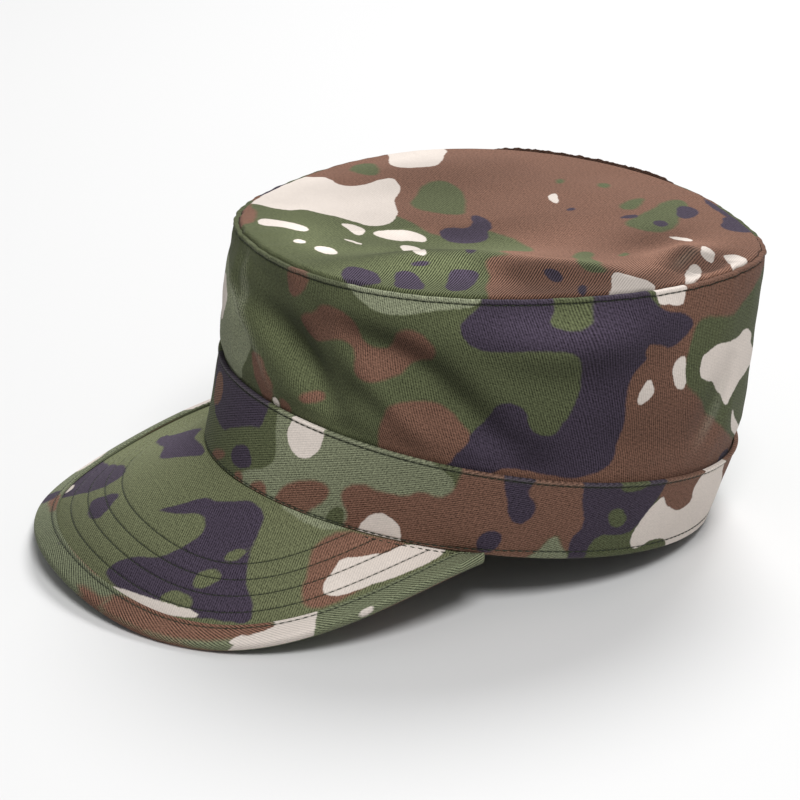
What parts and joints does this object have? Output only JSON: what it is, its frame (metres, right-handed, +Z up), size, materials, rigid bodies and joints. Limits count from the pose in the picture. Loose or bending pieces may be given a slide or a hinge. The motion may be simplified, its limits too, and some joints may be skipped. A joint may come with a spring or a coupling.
{
  "type": "military cap",
  "caption": "Soft round-topped field cap with a flat-sided crown, a head band and a stiff bound visor, in woodland camouflage twill.",
  "frame": {"origin": "middle of the cap's footprint, on the surface that it rests on", "axes": "+Z up from that surface, -Y towards the front of the visor, +X towards the wearer's left"},
  "size_m": [0.1972, 0.2704, 0.1212],
  "materials": {
    "top_cloth": "camouflage cotton twill, matt",
    "wall_cloth": "camouflage cotton twill, matt",
    "band_cloth": "camouflage cotton twill, matt",
    "visor_cloth": "camouflage cotton twill over a stiff board, matt",
    "binding_cloth": "camouflage cotton twill strip, matt"
  },
  "bodies": {
    "root": {"top_panel": "top_cloth", "side_wall": "wall_cloth", "band": "band_cloth", "visor": "visor_cloth", "visor_binding": "binding_cloth"}
  },
  "joints": []
}
